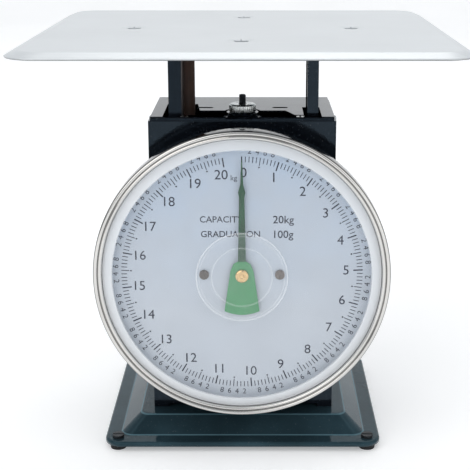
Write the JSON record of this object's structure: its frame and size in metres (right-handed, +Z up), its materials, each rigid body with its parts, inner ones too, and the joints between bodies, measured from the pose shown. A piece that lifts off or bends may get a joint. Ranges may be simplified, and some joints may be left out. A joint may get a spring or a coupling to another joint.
{
  "type": "bench scale",
  "caption": "Mechanical bench scale: square metal tray on a sprung load frame, round clock dial with a rack-driven pointer, sheet-metal housing and a folded base.",
  "frame": {"origin": "on the floor under the centre of the tray", "axes": "+Z up, the dial faces -Y, +X to the right as the dial is read"},
  "size_m": [0.28, 0.28, 0.2822],
  "materials": {
    "black_paint": "gloss",
    "base_paint": "gloss",
    "tray_metal": "satin",
    "bare_steel": "satin",
    "zinc": "satin",
    "spring_steel": "satin",
    "chrome": "polished",
    "clear_plastic": "gloss",
    "dial_paint": "satin",
    "pointer_green": "satin",
    "brass": "polished",
    "rubber": "matte",
    "nylon": "matte",
    "black_oxide": "satin"
  },
  "bodies": {
    "stand": {"base_pan": "base_paint", "rubber_feet": "rubber", "foot_screws": "black_oxide", "front_top_panel": "black_paint", "side_back_cover": "black_paint", "side_screws": "zinc", "housing_bolts": "zinc", "housing_nuts": "zinc", "rear_bracket": "bare_steel", "back_screws": "zinc", "pivot_rods": "zinc", "bridge_brackets": "black_paint", "spring_bridge": "black_paint", "bridge_screws": "zinc", "bridge_rivet": "zinc", "nut_washer": "black_paint", "left_spring": "spring_steel", "right_spring": "spring_steel", "dial_pan": "black_paint", "dial_plate": "dial_paint", "dial_posts": "brass", "dial_screws": "zinc", "lens": "clear_plastic", "bezel": "chrome", "movement_bracket": "zinc", "movement_screws": "zinc", "rack_guide": "nylon", "front_bush": "brass", "rear_bush": "brass"},
    "load_frame": {"left_upright": "black_paint", "right_upright": "black_paint", "lower_crossbar": "black_paint", "crossbar_rivets": "zinc", "link_pins": "zinc", "rack": "zinc", "rack_screws": "zinc", "tray_spider": "black_paint", "frame_rivets": "zinc", "tray": "tray_metal", "tray_screws": "tray_metal", "tray_nuts": "zinc"},
    "pointer_arbor": {"arbor": "spring_steel", "arbor_collar": "brass", "pinion": "brass", "pointer": "pointer_green", "pointer_boss": "brass", "hub_cap": "brass"},
    "upper_link": {"upper_link_arms": "bare_steel"},
    "lower_link": {"lower_link_arms": "bare_steel"},
    "zero_nut": {"zero_nut": "zinc"},
    "zero_yoke": {"zero_stud": "black_oxide", "spring_yoke": "black_oxide"}
  },
  "joints": [
    {"name": "load", "type": "slide", "parent": "stand", "child": "load_frame", "axis": [0, 0, -1], "range_m": [0, 0.0245], "stiffness_N_per_m": 8000, "springref_m": -0.004, "deforming": ["left_spring", "right_spring"]},
    {"name": "pointer_turn", "type": "hinge", "parent": "stand", "child": "pointer_arbor", "pos_m": [0, 0, 0.127], "axis": [0, 1, 0], "range_deg": [0, 351]},
    {"name": "upper_link_swing", "type": "hinge", "parent": "stand", "child": "upper_link", "pos_m": [0, 0.032, 0.19275], "axis": [1, 0, 0], "range_deg": [0, 28.65]},
    {"name": "lower_link_swing", "type": "hinge", "parent": "stand", "child": "lower_link", "pos_m": [0, 0.032, 0.05775], "axis": [1, 0, 0], "range_deg": [0, 28.65]},
    {"name": "zero_nut_turn", "type": "hinge", "parent": "stand", "child": "zero_nut", "pos_m": [0, -0.0215, 0.227], "axis": [0, 0, 1], "range_deg": [-720.2, 720.2]},
    {"name": "zero_yoke_lift", "type": "slide", "parent": "stand", "child": "zero_yoke", "axis": [0, 0, 1], "range_m": [-0.0016, 0.0016]}
  ],
  "couplings": [
    {"joint": "pointer_turn", "follows": "load", "rad_per_m": 250},
    {"joint": "upper_link_swing", "follows": "load", "rad_per_m": 20.398},
    {"joint": "lower_link_swing", "follows": "load", "rad_per_m": 20.398},
    {"joint": "zero_nut_turn", "follows": "zero_yoke_lift", "rad_per_m": -7854}
  ]
}
